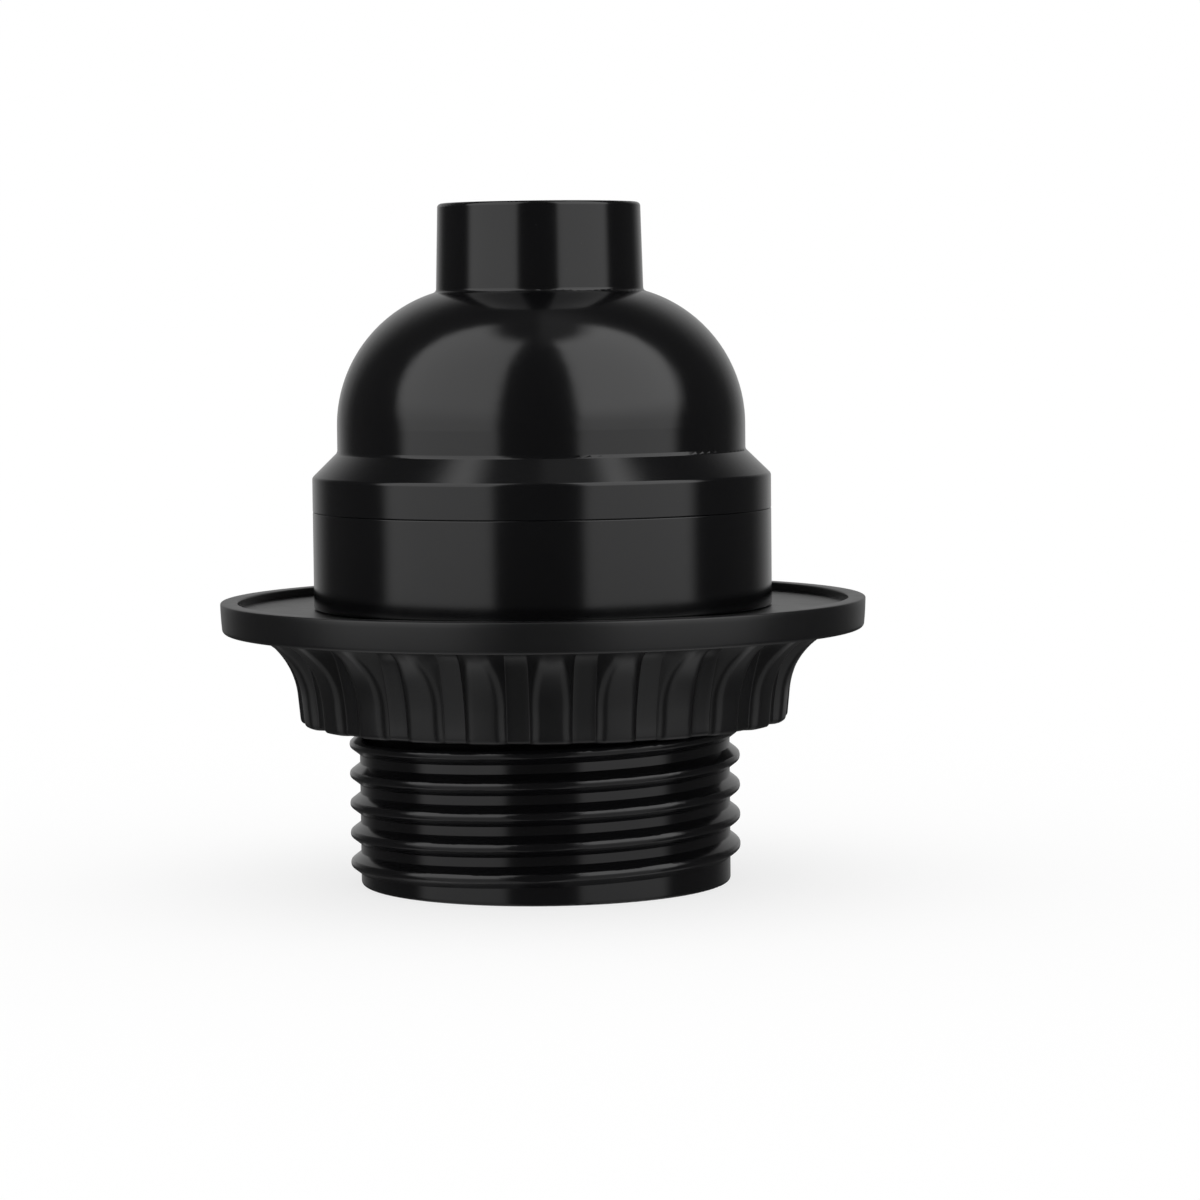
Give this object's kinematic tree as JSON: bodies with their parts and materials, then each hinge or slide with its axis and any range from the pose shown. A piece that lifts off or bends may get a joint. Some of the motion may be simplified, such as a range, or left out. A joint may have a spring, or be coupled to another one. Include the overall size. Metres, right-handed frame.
{
  "type": "lamp holder",
  "caption": "Screw-base pendant lamp holder: domed cap with a threaded neck, round body with a threaded skirt, and a shade ring with a fluted grip.",
  "frame": {"origin": "centre of the skirt's open end face, on which the holder stands", "axes": "+Z along the axis, from the open end to the neck; +Y to the back, where the neck's set screw is; +X to the right of the pictured side"},
  "size_m": [0.0548, 0.0548, 0.0578],
  "materials": {
    "black_moulding": "gloss",
    "ring_moulding": "gloss",
    "zinc_plated_steel": "satin",
    "nickel_plated_steel": "satin",
    "white_ceramic": "matte",
    "shell_aluminium": "satin",
    "red_fibre": "matte",
    "contact_brass": "satin"
  },
  "bodies": {
    "holder_body": {"body": "black_moulding"},
    "ring": {"shade_ring": "ring_moulding"},
    "block": {"contact_block": "white_ceramic", "screw_shell": "shell_aluminium", "insulating_disc": "red_fibre", "centre_contact": "contact_brass", "centre_rivet": "contact_brass", "neutral_rivet": "nickel_plated_steel", "shell_rivet": "nickel_plated_steel", "live_terminal": "contact_brass", "neutral_terminal": "nickel_plated_steel"},
    "cap_and_bushing": {"cap": "black_moulding", "neck_bushing": "zinc_plated_steel"},
    "stem_lock": {"neck_set_screw": "zinc_plated_steel"},
    "live_clamp": {"live_washer": "contact_brass"},
    "neutral_clamp": {"neutral_washer": "nickel_plated_steel"},
    "live_clamp_screw": {"live_screw": "contact_brass"},
    "neutral_clamp_screw": {"neutral_screw": "nickel_plated_steel"}
  },
  "joints": [
    {"name": "ring_travel", "type": "slide", "parent": "holder_body", "child": "ring", "axis": [0, 0, 1], "range_m": [-0.0136, 0]},
    {"name": "cap_turn", "type": "hinge", "parent": "holder_body", "child": "block", "pos_m": [0, 0, 0], "axis": [0, 0, 1], "range_deg": [0, 720]},
    {"name": "cap_lift", "type": "slide", "parent": "block", "child": "cap_and_bushing", "axis": [0, 0, 1], "range_m": [0, 0.004]},
    {"name": "stem_lock_travel", "type": "slide", "parent": "cap_and_bushing", "child": "stem_lock", "axis": [0, 1, 0], "range_m": [-0.0006, 0.003]},
    {"name": "live_clamp_lift", "type": "slide", "parent": "block", "child": "live_clamp", "axis": [0, 0, 1], "range_m": [0, 0.002]},
    {"name": "live_screw_turn", "type": "hinge", "parent": "live_clamp", "child": "live_clamp_screw", "pos_m": [-0.0092, 0, 0.033], "axis": [0, 0, 1], "range_deg": [0, 900]},
    {"name": "neutral_clamp_lift", "type": "slide", "parent": "block", "child": "neutral_clamp", "axis": [0, 0, 1], "range_m": [0, 0.002]},
    {"name": "neutral_screw_turn", "type": "hinge", "parent": "neutral_clamp", "child": "neutral_clamp_screw", "pos_m": [0.0092, 0, 0.033], "axis": [0, 0, 1], "range_deg": [0, 900]}
  ],
  "couplings": [
    {"joint": "cap_lift", "follows": "cap_turn", "m_per_rad": 0.00031831},
    {"joint": "live_screw_turn", "follows": "live_clamp_lift", "rad_per_m": 7854},
    {"joint": "neutral_screw_turn", "follows": "neutral_clamp_lift", "rad_per_m": 7854}
  ]
}
